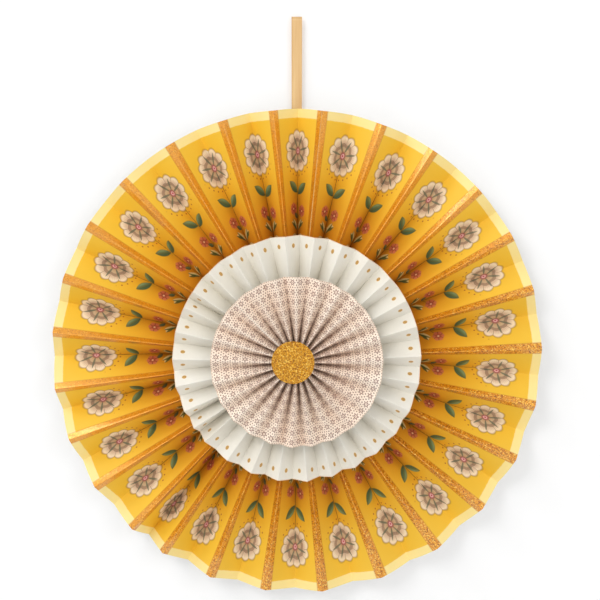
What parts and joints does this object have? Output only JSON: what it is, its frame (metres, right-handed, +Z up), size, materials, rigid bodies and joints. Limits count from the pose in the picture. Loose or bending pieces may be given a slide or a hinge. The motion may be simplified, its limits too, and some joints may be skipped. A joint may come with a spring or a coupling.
{
  "type": "paper fan rosette",
  "caption": "Round hanging decoration of pleated paper rings stacked front to back, with a glitter disc at the centre and a flat ribbon loop at the back.",
  "frame": {"origin": "centre of the back card's rear face, which lies on the wall when the rosette hangs", "axes": "+Y out of the back face toward the wall, so the front looks toward -Y; +Z up along the ribbon; +X to the right seen from the front"},
  "size_m": [0.4499, 0.0684, 0.5321],
  "materials": {
    "card": "plain uncoated card",
    "satin_ribbon": "peach satin ribbon with a soft sheen",
    "yellow_print_paper": "matt yellow paper with a floral print, orange glitter stripes on the front folds and a pale edge",
    "white_dotted_paper": "matt off-white paper with a gold dot near the rim of each panel",
    "blush_print_paper": "matt blush paper with rows of small printed rings and dots",
    "gold_glitter_card": "gold glitter on card"
  },
  "bodies": {
    "root": {"backing_disc": "card", "hanging_ribbon": "satin_ribbon", "large_fan": "yellow_print_paper", "middle_seat_disc": "card", "middle_fan": "white_dotted_paper", "small_seat_disc": "card", "small_fan": "blush_print_paper", "centre_disc": "gold_glitter_card"}
  },
  "joints": []
}
